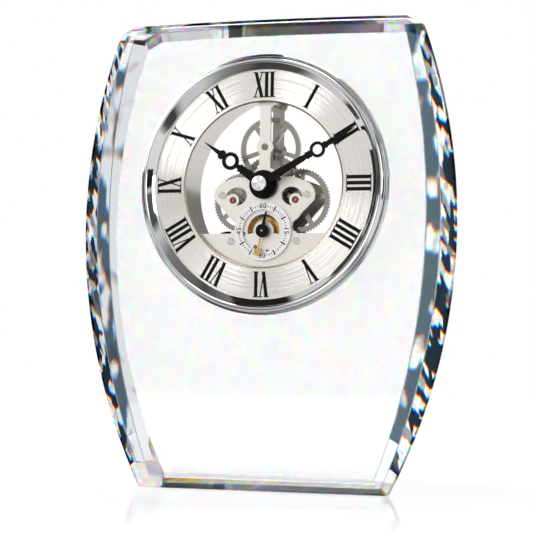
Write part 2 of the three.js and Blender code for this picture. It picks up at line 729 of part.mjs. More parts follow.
function secondsPieces() {
  add('seconds_dial', ring(secondsDialRadius, secondsDialWindow, secondsDialDepth, secondsDialThickness, 48),
    'white', seconds.x, seconds.z);
  add('seconds_hand', secondsHandGeometry(), 'brass', seconds.x, seconds.z, (secondsNow / 60) * 2 * Math.PI);
}

// Movement plates

function mirrored(points) {
  return points.concat(points.slice().reverse().map(([x, z]) => [-x, z]));
}

// Points along a smooth curve through the given ones
function smooth(points) {
  const through = points.map(([x, z]) => new THREE.Vector2(x, z));
  return new THREE.SplineCurve(through).getPoints(plateCurveSteps).map(({ x, y }) => [x, y]);
}

function plateSolid(front, thickness, holes, slots) {
  const reach = Math.sqrt(plateRadius ** 2 - chordDrop ** 2);
  const lobeEnd = lobeOffset + lobeRadius;
  const armAndLeg = smooth([
    [strapHalfWidth, hubDiscRadius - armDip], [2.2 * strapHalfWidth, armHeight + armDip],
    [hubDiscRadius + armDip, armHeight], [lobeOffset - 2 * lobeRadius, armHeight], [lobeOffset - lobeRadius,
      armHeight - armDip], [lobeOffset + lobeRadius / 3, armHeight - 3 * armDip], [lobeEnd, -lobeDrop + lobeRadius / 2],
    [lobeEnd, -lobeDrop - lobeRadius / 2], [lobeOffset + lobeRadius / 3, -lobeDrop - lobeRadius - armDip],
    [legFoot + 2 * legFlare, -legFootDrop + 2.2 * legFlare], [legFoot + legFlare, -legFootDrop + legFlare],
    [legFoot, -legFootDrop],
  ]);
  const outline = mirrored([[strapHalfWidth, plateRadius - 1], ...armAndLeg, [legNotchOffset, -chordDrop - 1]]);
  const segment = new THREE.Shape();
  segment.moveTo(reach, -chordDrop);
  segment.absarc(0, 0, plateRadius, -Math.asin(chordDrop / plateRadius), Math.asin(chordDrop / plateRadius) - Math.PI,
    true);
  const piece = (shape, curve) => toSolid(slab(shape, front, thickness, curve));
  let solid = piece(polygon(outline), 8).add(piece(segment, plateSides));
  for (const [radius, x, z] of [[hubDiscRadius, 0, 0], [eyeRadius, top.x, top.z],
    [strapHalfWidth + strapEndFlare, 0, topPillarHeight]]) {
    solid = solid.add(toSolid(disc(radius, front, thickness, plateSides, x, z)));
  }
  for (const side of [1, -1]) {
    const window = new THREE.Shape();
    window.absellipse(side * windowOffset, -windowDrop, windowHalfWidth, windowHalfHeight, 0, 2 * Math.PI, false,
      -side * windowTilt);
    solid = solid.subtract(toSolid(slab(window, front - 1, thickness + 2, 16)));
    const boss = side > 0 ? right : left;
    solid = solid.add(toSolid(disc(bossRadius, front, thickness, plateSides, boss.x, boss.z)));
    solid = solid.add(toSolid(box(bossArmLength, thickness, bossArmWidth, boss.x + (side * bossArmLength) / 2,
      front + thickness / 2, boss.z)));
    solid = solid.subtract(toSolid(disc(legNotchRadius, front - 1, thickness + 2, plateSides, side * legNotchOffset,
      -legNotchDrop)));
  }
  for (const [radius, x, z] of holes) {
    solid = solid.subtract(toSolid(disc(radius, front - 1, thickness + 2, 12, x, z)));
  }
  if (slots) {
    const slot = new THREE.Shape();
    slot.absarc(seconds.x, seconds.z, arcSlotOuter, -arcSlotDroop, Math.PI + arcSlotDroop, false);
    slot.absarc(seconds.x, seconds.z, arcSlotInner, Math.PI + arcSlotDroop, -arcSlotDroop, true);
    solid = solid.subtract(toSolid(slab(slot, front - 1, thickness + 2, 14)));
  }
  return toGeometry(solid);
}

const pillars = [
  { name: 'top', x: 0, z: topPillarHeight },
  { name: 'left', x: -sidePillarOffset, z: -sidePillarDrop },
  { name: 'right', x: sidePillarOffset, z: -sidePillarDrop },
];
const pivotHole = pivotRadius + sideGap;

function plates() {
  const jewelHole = jewelRadius + sideGap;
  const screwHole = pillarScrewRadius + sideGap;
  const shared = pillars.map(({ x, z }) => [screwHole, x, z]);
  const small = [seconds, third, step, rotor].map(({ x, z }) => [pivotHole, x, z]);
  const lobeHole = lobeScrewRadius + sideGap;
  const frontHoles = [[hourPipeRadius + sideGap, 0, 0], [pivotHole, motion.x, motion.z],
    [jewelHole, right.x, right.z], [jewelHole, left.x, left.z], [jewelHole, top.x, top.z],
    [lobeHole, lobeOffset, -lobeDrop], [lobeHole, -lobeOffset, -lobeDrop],
    [lobeHole, plateScrewOffset, -plateScrewDrop], [lobeHole, -plateScrewOffset, -plateScrewDrop]];
  add('front_plate', plateSolid(plateDepth, plateThickness, [...shared, ...small, ...frontHoles], true), 'nickel');
  const rearHoles = [[centreArborRadius + sideGap, 0, 0], [pivotHole, right.x, right.z],
    [pivotHole, left.x, left.z], [pivotHole, top.x, top.z]];
  add('rear_plate', plateSolid(rearPlateDepth, rearPlateThickness, [...shared, ...small, ...rearHoles], false),
    'nickel');
}

function screw(shankRadius, length) {
  const solid = toSolid(turned([
    [0, -screwHeadHeight], [screwHeadRadius - 0.15, -screwHeadHeight], [screwHeadRadius, -screwHeadHeight + 0.15],
    [screwHeadRadius, 0], [shankRadius, 0], [shankRadius, length], [0, length],
  ], 12));
  const slot = box(4 * screwHeadRadius, 2 * screwSlotDepth, screwSlotWidth, 0, -screwHeadHeight, 0);
  return toGeometry(solid.subtract(toSolid(slot)));
}

function fixings() {
  const front = plateDepth - seatGap;
  const back = rearPlateDepth + rearPlateThickness + seatGap;
  const pillarFront = plateDepth + plateThickness + seatGap;
  const pillarBack = rearPlateDepth - seatGap;
  for (const { name, x, z } of pillars) {
    const bore = pillarScrewRadius + sideGap;
    add(`${name}_pillar`, ring(pillarRadius, bore, pillarFront, pillarBack - pillarFront, 16), 'steel', x, z);
    add(`${name}_front_screw`, screw(pillarScrewRadius, pillarScrewReach).translate(0, front, 0), 'steel', x, z);
    add(`${name}_rear_screw`, screw(pillarScrewRadius, pillarScrewReach).rotateX(Math.PI).translate(0, back, 0), 'steel', x, z);
  }
  for (const [name, side] of [['left', -1], ['right', 1]]) {
    add(`${name}_lobe_screw`, screw(lobeScrewRadius, plateScrewLength).translate(0, front, 0), 'steel',
      side * lobeOffset, -lobeDrop);
    add(`${name}_plate_screw`, screw(lobeScrewRadius, plateScrewLength).translate(0, front, 0), 'steel',
      side * plateScrewOffset, -plateScrewDrop);
  }
  for (const [name, { x, z }] of [['left', left], ['right', right], ['top', top]]) {
    add(`${name}_jewel`, ring(jewelRadius, pivotHole, plateDepth + 0.1, plateThickness - 0.2, 16), 'ruby', x, z);
  }
}

// Stepper motor, circuit board, cell and its holder

function motorPieces() {
  const coreEnd = coilCentre + coilCoreLength / 2;
  const coreStart = coilCentre - coilCoreLength / 2;
  const holeRadius = rotorRadius + 0.4;
  const bar = polygon([
    [rotor.x, rotor.z + statorWidth], [coreStart + 2, rotor.z + statorWidth - 1], [coreEnd + 1, -coilDrop + 6.5],
    [coreEnd + 1, -coilDrop - 1.2], [coreEnd - 1.4, -coilDrop - 1.2], [coreEnd - 1.4, -coilDrop + 4],
    [coreStart + 1.6, -coilDrop + 4], [coreStart + 1.6, -coilDrop - 1.2], [coreStart - 0.8, -coilDrop - 1.2],
    [rotor.x, rotor.z - statorWidth],
  ]);
  let stator = toSolid(slab(bar, statorFront, statorThickness));
  stator = stator.add(toSolid(disc(statorWidth, statorFront, statorThickness, 28, rotor.x, rotor.z)));
  stator = stator.subtract(toSolid(disc(holeRadius, statorFront - 1, statorThickness + 2, 24, rotor.x, rotor.z)));
  add('stator', toGeometry(stator), 'steel');

  const coreY = statorFront - coilCoreRadius - seatGap;
  const core = new THREE.CylinderGeometry(coilCoreRadius, coilCoreRadius, coilCoreLength, 12);
  core.rotateZ(Math.PI / 2);
  core.translate(coilCentre, coreY, -coilDrop);
  add('coil_core', core, 'steel');
  const winding = ring(coilRadius - 0.1, coilCoreRadius + sideGap, -coilLength / 2, coilLength, 24);
  winding.rotateZ(Math.PI / 2);
  winding.translate(coilCentre, coreY, -coilDrop);
  const room = toSolid(box(coilLength + 2, 4, 8, coilCentre, statorFront - seatGap + 2, -coilDrop));
  add('coil_winding', toGeometry(toSolid(winding).subtract(room)), 'copper');

  const circuitBack = rearPlateDepth - seatGap;
  add('circuit_board', box(circuitWidth, circuitThickness, circuitHeight, circuitOffset,
    circuitBack - circuitThickness / 2, -circuitDrop), 'board');
  add('button_cell', disc(cellRadius, cellFront, cellThickness, 32), 'chrome', cellOffset, -cellDrop);
  const holderInner = cellRadius + sideGap;
  const floorFront = cellFront - seatGap - holderWall;
  const holderBack = cellFront + cellThickness;
  add('cell_holder', turned([
    [0, floorFront], [holderInner + holderWall, floorFront], [holderInner + holderWall, holderBack],
    [holderInner, holderBack], [holderInner, floorFront + holderWall], [0, floorFront + holderWall],
  ], 32), 'black', cellOffset, -cellDrop);
}

crystalBlock();
insertShell();
plates();
fixings();
visibleWheels();
secondsTrain();
centrePieces();
hands();
secondsPieces();
motorPieces();

export default clock;
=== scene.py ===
import json
import math
import bmesh
import bpy
from mathutils import Matrix, Vector


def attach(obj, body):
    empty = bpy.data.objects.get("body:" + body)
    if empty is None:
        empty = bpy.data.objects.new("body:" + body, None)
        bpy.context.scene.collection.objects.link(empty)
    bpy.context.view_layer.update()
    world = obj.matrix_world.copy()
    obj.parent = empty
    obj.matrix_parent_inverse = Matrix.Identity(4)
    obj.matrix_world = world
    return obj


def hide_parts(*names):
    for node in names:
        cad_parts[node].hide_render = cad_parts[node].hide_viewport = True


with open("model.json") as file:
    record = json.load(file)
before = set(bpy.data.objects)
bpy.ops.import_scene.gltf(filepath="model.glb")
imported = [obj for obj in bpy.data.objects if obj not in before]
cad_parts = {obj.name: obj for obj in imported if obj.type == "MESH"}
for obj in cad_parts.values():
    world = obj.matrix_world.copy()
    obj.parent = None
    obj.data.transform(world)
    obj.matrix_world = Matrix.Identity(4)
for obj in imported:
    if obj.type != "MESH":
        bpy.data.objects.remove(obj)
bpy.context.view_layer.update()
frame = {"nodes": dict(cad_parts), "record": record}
nodes = frame["nodes"]

# The crystal block: one piece of clear optical crystal, sawn, ground and polished.
# Its sides bow out like a barrel, every edge has a wide polished bevel, and a round hole is bored
# through it for the clock.
MM = 0.001
WELD = 1e-7
FRONT = -15.0
BLOCK_DEPTH = 30
DIAL_HEIGHT = 122.4
BORE_RADIUS = 44.6
# Red, green and blue: how much each bends, and how far its pattern's edges, with the painted reflections, are
# shifted in mm.
COLOUR_BANDS = [(1.515, -0.6), (1.52, 0.0), (1.525, 0.6)]
SIDEWAYS_SHIFT = 0.4


class Socket:
    """A node's output that takes part in ordinary sums."""

    def __init__(self, paint, out):
        self.paint = paint
        self.out = out

    def sum(self, operation, *values):
        return self.paint.node("Math", {"operation": operation}, *values)

    def __add__(self, other):
        return self.sum("ADD", self, other)

    def __radd__(self, other):
        return self.sum("ADD", other, self)

    def __sub__(self, other):
        return self.sum("SUBTRACT", self, other)

    def __rsub__(self, other):
        return self.sum("SUBTRACT", other, self)

    def __mul__(self, other):
        return self.sum("MULTIPLY", self, other)

    def __rmul__(self, other):
        return self.sum("MULTIPLY", other, self)

    def __truediv__(self, other):
        return self.sum("DIVIDE", self, other)

    def __rtruediv__(self, other):
        return self.sum("DIVIDE", other, self)

    def at_least(self, other):
        return self.sum("MAXIMUM", self, other)


class Paint:
    """A material or the world, written as nodes."""

    def __init__(self, owner):
        owner.use_nodes = True
        self.owner = owner
        self.tree = owner.node_tree
        self.tree.nodes.clear()

    def node(self, kind, settings=None, *values, out=0, **named):
        """A node of this kind. Values or links go to its sockets in order, or by name with _ for a space."""
        made = self.tree.nodes.new("ShaderNode" + kind)
        for key, value in (settings or {}).items():
            if key == "stops":
                ramp = made.color_ramp
                while len(ramp.elements) < len(value):
                    ramp.elements.new(0.5)
                for element, (place, colour) in zip(ramp.elements, value):
                    element.position = place
                    element.color = (*colour, 1)
            else:
                setattr(made, key, value)
        pairs = list(enumerate(values)) + [(k.replace("_", " "), v) for k, v in named.items()]
        for key, value in pairs:
            if isinstance(value, Socket):
                self.tree.links.new(value.out, made.inputs[key])
            elif value is not None:
                made.inputs[key].default_value = value
        return Socket(self, made.outputs[out])

    def finish(self, shader, kind="OutputMaterial"):
        end = self.tree.nodes.new("ShaderNode" + kind)
        self.tree.links.new(shader.out, end.inputs["Surface"])
        return self.owner


def one_band(colour, band):
    return tuple(colour[band] if band == c else 0 for c in range(3)) + (1,)


def crystal_glass(name, tint_and_shade, pattern=None, size=(1, 1, 1), painted_reflection=None, sharp=12.0, share=0.5, tilt=0.0,
                  slant=0.0):
    """Glass in three colour bands, split a little at the edges of each facet of painted reflection as a prism
    splits light.

    The pattern's cells have a size in mm and a slant, and a share of them is glass of a second, deeper colour:
    painted reflection. Without that colour that share is glass, and light goes straight through the rest.
    The tint is the crystal's own, and on the sides and arrises it is also painted shade. Tilt leans the facets'
    faces."""
    paint = Paint(bpy.data.materials.new(name))
    place = paint.node("TexCoord", None, out="Object")
    cell_size = tuple(v * MM for v in size)
    normal = None
    if tilt:
        cells = paint.node("TexVoronoi", None, Scale=1.0, out="Color", Vector=paint.node(
            "VectorMath", {"operation": "DIVIDE"}, place, cell_size))
        lean = paint.node("VectorMath", {"operation": "MULTIPLY"}, paint.node(
            "VectorMath", {"operation": "SUBTRACT"}, cells, (0.5, 0.5, 0.5)), (tilt, tilt, tilt))
        normal = paint.node("VectorMath", {"operation": "NORMALIZE"}, paint.node(
            "VectorMath", {"operation": "ADD"}, paint.node("NewGeometry", None, out="Normal"), lean))
    parts = []
    for band, (bend, shift) in enumerate(COLOUR_BANDS):
        colour = one_band(tint_and_shade, band)
        glass = paint.node("BsdfGlass", None, Color=colour, Roughness=0.0, IOR=bend, Normal=normal)
        if pattern:
            spot = paint.node("Mapping", None, place, (SIDEWAYS_SHIFT * shift * MM, 0, shift * MM),
                              (0, slant, 0))
            spot = paint.node("VectorMath", {"operation": "DIVIDE"}, spot, cell_size)
            if pattern == "TexVoronoi":
                cells = paint.node(pattern, None, Vector=spot, Scale=1.0, out="Color")
                value = paint.node("SeparateXYZ", None, cells)
            else:
                value = paint.node(pattern, None, Vector=spot, Scale=1.0, Detail=1.5)
            mask = paint.node("Math", {"operation": "MULTIPLY", "use_clamp": True}, value - (1 - share), sharp)
            if painted_reflection:
                painted_reflection_glass = paint.node("BsdfGlass", None, Color=one_band(painted_reflection, band), Roughness=0.0, IOR=bend,
                                  Normal=normal)
                glass = paint.node("MixShader", None, mask, glass, painted_reflection_glass)
            else:
                glass = paint.node("MixShader", None, mask, paint.node("BsdfTransparent", None, colour), glass)
        parts.append(glass)
    both = paint.node("AddShader", None, parts[0], parts[1])
    return paint.finish(paint.node("AddShader", None, both, parts[2]))


def outline(half_width, bow_radius, bow_height, low, high, cut_width, cut_height, side_steps=96, top_steps=24):
    """The block's outline from the front: flat foot, bowed sides, cut corners and a top that rises a little."""

    def edge(z):
        return half_width - bow_radius + math.sqrt(bow_radius ** 2 - (z - bow_height) ** 2)

    foot_cut = 0.6
    rise = 0.7
    low_side = low + foot_cut
    high_side = high - cut_height
    right = [(edge(low_side) - foot_cut, low)]
    for i in range(side_steps + 1):
        z = low_side + (high_side - low_side) * i / side_steps
        right.append((edge(z), z))
    reach = edge(high) - cut_width
    for i in range(top_steps + 1):
        x = reach * (1 - i / top_steps)
        right.append((x, high + rise * (1 - (x / reach) ** 2)))
    return right + [(-x, z) for x, z in reversed(right[:-1])]


def loop_of(mesh, points, depth):
    verts = [mesh.verts.new((x * MM, (FRONT + depth) * MM, z * MM)) for x, z in points]
    return [mesh.edges.new((a, b)) for a, b in zip(verts, verts[1:] + verts[:1])]


def bore_loop(mesh, depth, steps=256):
    turn = [2 * math.pi * i / steps for i in range(steps)]
    return loop_of(mesh, [(BORE_RADIUS * math.cos(a), DIAL_HEIGHT + BORE_RADIUS * math.sin(a)) for a in turn],
                   depth)


def put(name, mesh, material):
    data = bpy.data.meshes.new(name)
    mesh.to_mesh(data)
    mesh.free()
    made = bpy.data.objects.new(name, data)
    bpy.context.scene.collection.objects.link(made)
    data.materials.append(material)
    return made


def piece(name, mesh, material, body, crease=25):
    """A finished piece on its body. Edges sharper than the crease, in degrees, stay hard."""
    bmesh.ops.remove_doubles(mesh, verts=mesh.verts, dist=WELD)
    bmesh.ops.recalc_face_normals(mesh, faces=mesh.faces)
    for edge in mesh.edges:
        edge.smooth = len(edge.link_faces) == 2 and edge.calc_face_angle(0) < math.radians(crease)
    for face in mesh.faces:
        face.smooth = True
    made = put(name, mesh, material)
    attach(made, body)
    return made


crystal_mesh = bmesh.new()
girdle = 78.3
land_end = 5.5
back_bevel = 26
# The sides' half width where they start to lean in, and where that line would meet the back.
lean_start, lean_end = 78.5, 72.2
taper = (lean_start - lean_end) / (BLOCK_DEPTH - land_end)
# Each outline: half width, radius and height of the bow, foot, top, the corner's cut across and down, depth.
outlines = [
    (66.9, 289, 110.5, 5.3, 185, 0.6, 0.6, 0),
    (67.4, 286, 110.3, 5, 185.3, 0.7, 0.7, 0.04),
    (72.6, 257, 108.5, 2.6, 186.8, 2.5, 1.8, 0.5),
    (73.0, 256, 108.3, 2.4, 186.9, 2.6, 1.9, 0.57),
    (girdle, 228, 106, 0, 188.6, 5, 3.5, 1.5),
    (girdle, 228, 106, 0, 188.6, 5, 3.5, land_end),
    (girdle - taper * (back_bevel - land_end), 228, 106, 0, 188.6, 5, 3.5, back_bevel),
    (72, 228, 106, 5.3, 185, 5, 3.5, BLOCK_DEPTH),
]
loops = [loop_of(crystal_mesh, outline(*sizes), depth) for *sizes, depth in outlines]
CLEAR, CUT_EDGE, BEVEL, SIDE, ARRIS = range(5)
side_from = 55
side_low, side_high = 1, 184
for finish, near, far in zip([ARRIS, BEVEL, ARRIS, CUT_EDGE, CUT_EDGE, SIDE, SIDE], loops, loops[1:]):
    for face in bmesh.ops.bridge_loops(crystal_mesh, edges=near + far)["faces"]:
        middle = face.calc_center_median() / MM
        at_side = abs(middle.x) > side_from and side_low < middle.z < side_high
        face.material_index = finish if finish == ARRIS or at_side else CLEAR
bores = [bore_loop(crystal_mesh, 0), bore_loop(crystal_mesh, BLOCK_DEPTH)]
bmesh.ops.bridge_loops(crystal_mesh, edges=bores[0] + bores[1])
for rim, bore in ((loops[0], bores[0]), (loops[-1], bores[1])):
    bmesh.ops.triangle_fill(crystal_mesh, use_beauty=True, use_dissolve=False, edges=rim + bore)
crystal = piece("crystal", crystal_mesh, crystal_glass("clear crystal", (0.975, 0.98, 0.985)), "case", crease=3)
# The cut edges and bevels carry painted reflections: a share of their glass has a dark colour. The grey tint of
# the sides and the darker one of the arrises are painted shade.
for extra in [
        crystal_glass("cut crystal edge", (0.99, 0.99, 1), "TexVoronoi", size=(1.7, 40, 5.5),
                      painted_reflection=(0.02, 0.035, 0.05), sharp=4.0, share=0.68, tilt=0.45, slant=0.35),
        crystal_glass("polished crystal bevel", (0.99, 0.99, 1), "TexNoise", size=(7, 60, 15),
                      painted_reflection=(0.11, 0.16, 0.2), sharp=11, share=0.6),
        crystal_glass("crystal side", (0.74, 0.76, 0.78), "TexNoise", size=(60, 25, 12), sharp=5, share=0.42),
        crystal_glass("crystal arris", (0.42, 0.47, 0.52))]:
    crystal.data.materials.append(extra)
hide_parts("crystal_block")

# The bezel: a turned brass ring, polished and chromed, pressed in with the movement.
# Its crest is rounded over, its inner side slopes down to the dial, and a fine groove runs round its foot.


def metal(name, colour, roughness):
    paint = Paint(bpy.data.materials.new(name))
    return paint.finish(paint.node("BsdfPrincipled", None, Base_Color=(*colour, 1), Metallic=1.0,
                                   Roughness=roughness))


def turned(name, profile, material, body, z=0.0, steps=256, crease=25):
    """A ring or disc on the dial's axis, spun from its profile of radius and depth."""
    mesh = bmesh.new()
    verts = [mesh.verts.new((r * MM, (FRONT + d) * MM, 0)) for r, d in profile]
    edges = [mesh.edges.new((a, b)) for a, b in zip(verts, verts[1:] + verts[:1])]
    bmesh.ops.spin(mesh, geom=verts + edges, cent=(0, 0, 0), axis=(0, 1, 0), angle=2 * math.pi, steps=steps,
                   use_merge=True)
    bmesh.ops.dissolve_degenerate(mesh, dist=WELD, edges=mesh.edges)
    bmesh.ops.translate(mesh, verts=mesh.verts, vec=(0, 0, (DIAL_HEIGHT + z) * MM))
    return piece(name, mesh, material, body, crease)


chrome = metal("polished chrome", (0.57, 0.575, 0.58), 0.04)
crest_radius = 1.3
crest_middle = (49.9, -3)
crest_turns = [math.radians(15 * i - 60) for i in range(11)]
crest = [(crest_middle[0] + crest_radius * math.sin(a), crest_middle[1] - crest_radius * math.cos(a))
         for a in crest_turns]
inner_side = [(47.3, -0.3), (47.3, -1.8), (46.2, -1.8), (46.2, -2.15)]
foot_groove = [(51.2, -1.8), (51.3, -1.15), (51.5, -1.15), (51.65, -1.6), (51.9, -1.75), (52.2, -1.65),
               (52.4, -1.4), (52.4, -0.3)]
bezel = turned("bezel", inner_side + crest + foot_groove, chrome, "case")
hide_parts("bezel_ring")

# The dial: a flat aluminium ring, brushed in circles and lacquered pale silver.
# It lies in the bezel, and its inner edge is open to the movement.


def brushed(name, colour, roughness, grain=15.0, spread=1.0, along_axis=False):
    """Metal with fine turned grooves round the dial's axis: they fan the light out across themselves."""
    paint = Paint(bpy.data.materials.new(name))
    place = paint.node("TexCoord", None, out="Object")
    across, depth, up = [paint.node("SeparateXYZ", None, place, out=i) * (1 / MM) for i in range(3)]
    up = up - DIAL_HEIGHT
    reach = paint.node("Math", {"operation": "SQRT"}, across * across + up * up)
    groove_at = depth if along_axis else reach
    groove = paint.node("TexNoise", {"noise_dimensions": "1D"}, W=groove_at * grain, Scale=1.0, Detail=3.0)
    tilt = (groove - 0.5) * spread
    if along_axis:
        lean = paint.node("CombineXYZ", None, 0.0, tilt, 0.0)
    else:
        lean = paint.node("CombineXYZ", None, across / reach * tilt, 0.0, up / reach * tilt)
    facing = paint.node("NewGeometry", None, out="Normal")
    normal = paint.node("VectorMath", {"operation": "NORMALIZE"},
                        paint.node("VectorMath", {"operation": "ADD"}, facing, lean))
    return paint.finish(paint.node("BsdfPrincipled", None, Base_Color=(*colour, 1), Metallic=1.0,
                                   Roughness=roughness, Normal=normal))


dial_silver = brushed("brushed silver dial", (0.9, 0.88, 0.85), 0.16, spread=1.7)
dial = turned("dial", [(47, -1.5), (47, -1), (33.1, -1), (33.1, -1.15), (33.8, -1.15), (33.8, -1.5)],
              dial_silver, "case", crease=40)
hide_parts("dial_ring")

# The dial's inner edge: a narrow bronze-toned lip, turned with the dial.
# It stands round the opening and frames the movement.
bronze = metal("bronze lip", (0.3, 0.24, 0.19), 0.25)
lip = turned("dial_lip", [(33.1, -1.15), (33.2, -1.3), (33.5, -1.47), (33.8, -1.5), (33.8, -1.15)], bronze,
             "case")

# The hour numerals: Roman numerals printed in black on the dial, all with their feet to the centre.
# Each has thick and thin strokes with flat serifs, narrow for its height.
numeral_height = 10.3
numeral_ring = 40.1
numeral_face = -1.53
numeral_back = -1.45
ink_layer = 0.001
thick = 1.45
thin = 0.5
serif = 0.4
half = numeral_height / 2
foot = -half + serif / 2
top = half - serif / 2
# Each letter: its width, its strokes with their left side at foot and top and their width, where serifs
# stand, and the serifs' ends.
letters = {
    "I": (2.4, [(-thick / 2, -thick / 2, thick)], (foot, top), [(-1.2, 1.2)]),
    "V": (4.3, [(0.2 - thick / 2, -1.85, thick), (-thin / 2, 1.3, thin)], (top,), [(-2.3, -0.2), (0.6, 2.3)]),
    "X": (4.4, [(0.75, -1.9, thick), (-1.75, 1.3, thin)], (foot, top), [(-2.3, -0.35), (0.35, 2.3)]),
}
hour_words = ["XII", "I", "II", "III", "IIII", "V", "VI", "VII", "VIII", "IX", "X", "XI"]


def stroke(mesh, corners, front, back, turn, x, z):
    """A flat raised shape between two depths, turned round the Y axis and set at x and z."""
    ring = [mesh.verts.new((px * MM, (FRONT + front) * MM, pz * MM)) for px, pz in corners]
    face = mesh.faces.new(ring)
    grown = bmesh.ops.extrude_face_region(mesh, geom=[face])["geom"]
    moved = [v for v in grown if isinstance(v, bmesh.types.BMVert)]
    bmesh.ops.translate(mesh, verts=moved, vec=(0, (back - front) * MM, 0))
    place = Matrix.Translation((x * MM, 0, z * MM)) @ Matrix.Rotation(turn, 4, "Y")
    bmesh.ops.transform(mesh, matrix=place, verts=ring + moved)


def letter_stroke(left_foot, left_top, width):
    return [(left_foot, -half), (left_foot + width, -half), (left_top + width, half), (left_top, half)]


def letter_serif(start, stop, z):
    return [(start, z - serif / 2), (stop, z - serif / 2), (stop, z + serif / 2), (start, z + serif / 2)]


ink_paint = Paint(bpy.data.materials.new("black printing ink"))
ink = ink_paint.finish(ink_paint.node("BsdfPrincipled", None, Base_Color=(0.006, 0.006, 0.007, 1),
                                      Roughness=0.5, Specular_IOR_Level=0.08))
numeral_mesh = bmesh.new()
for hour, word in enumerate(hour_words):
    at = -sum(letters[c][0] for c in word) / 2
    shapes = []
    for letter in word:
        wide, strokes, serif_heights, serif_ends = letters[letter]
        middle = at + wide / 2
        shapes += [letter_stroke(middle + low, middle + high, width) for low, high, width in strokes]
        shapes += [letter_serif(middle + start, middle + stop, z)
                   for z in serif_heights for start, stop in serif_ends]
        at += wide
    angle = math.radians(30 * hour)
    for index, shape in enumerate(shapes):
        stroke(numeral_mesh, shape, numeral_face - ink_layer * index, numeral_back, angle,
               numeral_ring * math.sin(angle), DIAL_HEIGHT + numeral_ring * math.cos(angle))
numerals = piece("hour_numerals", numeral_mesh, ink, "case")

# The movement's cup: a turned tube that fills the bore behind the dial, open at the back.
# Its inner wall is brushed round and shows behind the hands, and a groove outside holds the rubber ring.
# The cup's grey is partly the steel's own and partly painted shade, darker for the inside of the bore.
cup_steel_and_shade = brushed("brushed cup", (0.5, 0.48, 0.46), 0.2, grain=8.0, along_axis=True)
cup = turned("cup", [(38.5, -0.7), (47, -0.7), (47, -0.3), (43.6, -0.3), (43.6, 7), (42.6, 7), (42.6, 13),
                     (43.6, 13), (43.6, 29.5), (38.5, 29.5)], cup_steel_and_shade, "case")
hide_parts("movement_housing")

# The centre cap: a small turned steel nut that holds the hands on the arbor.
# Its face is turned flat, so that light fans over it, and its edge is rounded.
cap_steel = brushed("turned cap", (0.8, 0.79, 0.78), 0.22, spread=1.6)
cap = turned("cap", [(0, -6.5), (2.75, -6.5), (2.95, -6.45), (3.1, -6.3), (3.1, -4.5), (0, -4.5)], cap_steel,
             "minute_arbor", steps=96)
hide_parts("hand_nut")

# The plates, wheels, arbors, screws, hour and minute hand, coil, board and cell: these come from the frame
# as they are, with their own metals and plastics. The plates are satin nickel, and the rear one has painted
# shade: a darker nickel for the shade of the cup.


def worked(name, colour, roughness, grain, swing, **more):
    """A finish whose roughness wavers by the swing, as worked surfaces do."""
    paint = Paint(bpy.data.materials.new(name))
    place = paint.node("TexCoord", None, out="Object")
    noise = paint.node("TexNoise", None, Vector=place, Scale=grain, Detail=2.0)
    return paint.finish(paint.node("BsdfPrincipled", None, Base_Color=(*colour, 1),
                                   Roughness=noise * swing + (roughness - swing / 2), **more))


def satin(name, colour, roughness):
    return worked(name, colour, roughness, grain=900.0, swing=0.12, Metallic=1.0)


def plain(name, colour, roughness, **more):
    return worked(name, colour, roughness, grain=700.0, swing=0.1, **more)


finishes = {
    "nickel": satin("satin nickel plate", (0.83, 0.8, 0.76), 0.38),
    "steel": satin("fine steel", (0.38, 0.36, 0.34), 0.24),
    "brass": satin("satin brass", (0.68, 0.42, 0.13), 0.3),
    "black": plain("satin black", (0.006, 0.006, 0.007), 0.5, Specular_IOR_Level=0.08),
    "white": plain("printed white", (0.85, 0.84, 0.81), 0.5),
    "ruby": plain("ruby", (0.35, 0.01, 0.04), 0.12),
    "copper": plain("enamelled copper wire", (0.4, 0.12, 0.03), 0.35),
    "board": plain("circuit laminate", (0.03, 0.12, 0.05), 0.5),
    "rubber": plain("black rubber", (0.02, 0.02, 0.02), 0.75),
    "chrome": chrome,
}
painted_shade_nickel = satin("nickel plate with painted shade", (0.52, 0.49, 0.45), 0.3)
bright_steel = satin("bright steel", (0.8, 0.78, 0.75), 0.12)
# These pieces, and the screws, look other than the rest of their slot; the rear plate's darker nickel is painted
# shade.
finish_or_painted_shade = {"minute_wheel": finishes["steel"], "top_jewel": finishes["steel"], "rear_plate": painted_shade_nickel}
for entry in frame["record"]["subparts"]:
    name, slot = entry["node"], entry["material_slot"]
    if slot in finishes:
        finish = bright_steel if name.endswith("screw") else finish_or_painted_shade.get(name, finishes[slot])
        nodes[name].data.materials.clear()
        nodes[name].data.materials.append(finish)

# The seconds hand: a flat blackened steel pointer with a round boss, pushed onto the seconds arbor.
# Its counterweight is a thin brass-coloured tail with a disc at the end. At rest it points at two seconds.
SECONDS_DROP = 18.6
seconds_height = DIAL_HEIGHT - SECONDS_DROP
hand_turn = math.radians(12)
hand_face = -1.5
hand_back = -1.1
hand_layer = 0.01


def hand_part(name, shapes, slot):
    mesh = bmesh.new()
    for index, shape in enumerate(shapes):
        stroke(mesh, shape, hand_face - hand_layer * index, hand_back, hand_turn, 0, seconds_height)
    made = piece(name, mesh, finishes[slot], "seconds_gear")
    return made


def disc(radius, at, steps=32):
    return [(radius * math.cos(2 * math.pi * i / steps), at + radius * math.sin(2 * math.pi * i / steps))
            for i in range(steps)]


pointer_shape = [(-0.75, 2), (0.75, 2), (0.3, 7.9), (-0.3, 7.9)]
tail_shape = [(-0.35, -8), (0.35, -8), (0.35, -2.4), (-0.35, -2.4)]
pointer = hand_part("seconds_pointer", [pointer_shape, disc(2.7, 0)], "black")
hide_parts("seconds_hand")
hand_part("seconds_tail", [tail_shape, disc(1.45, -8.6)], "brass")

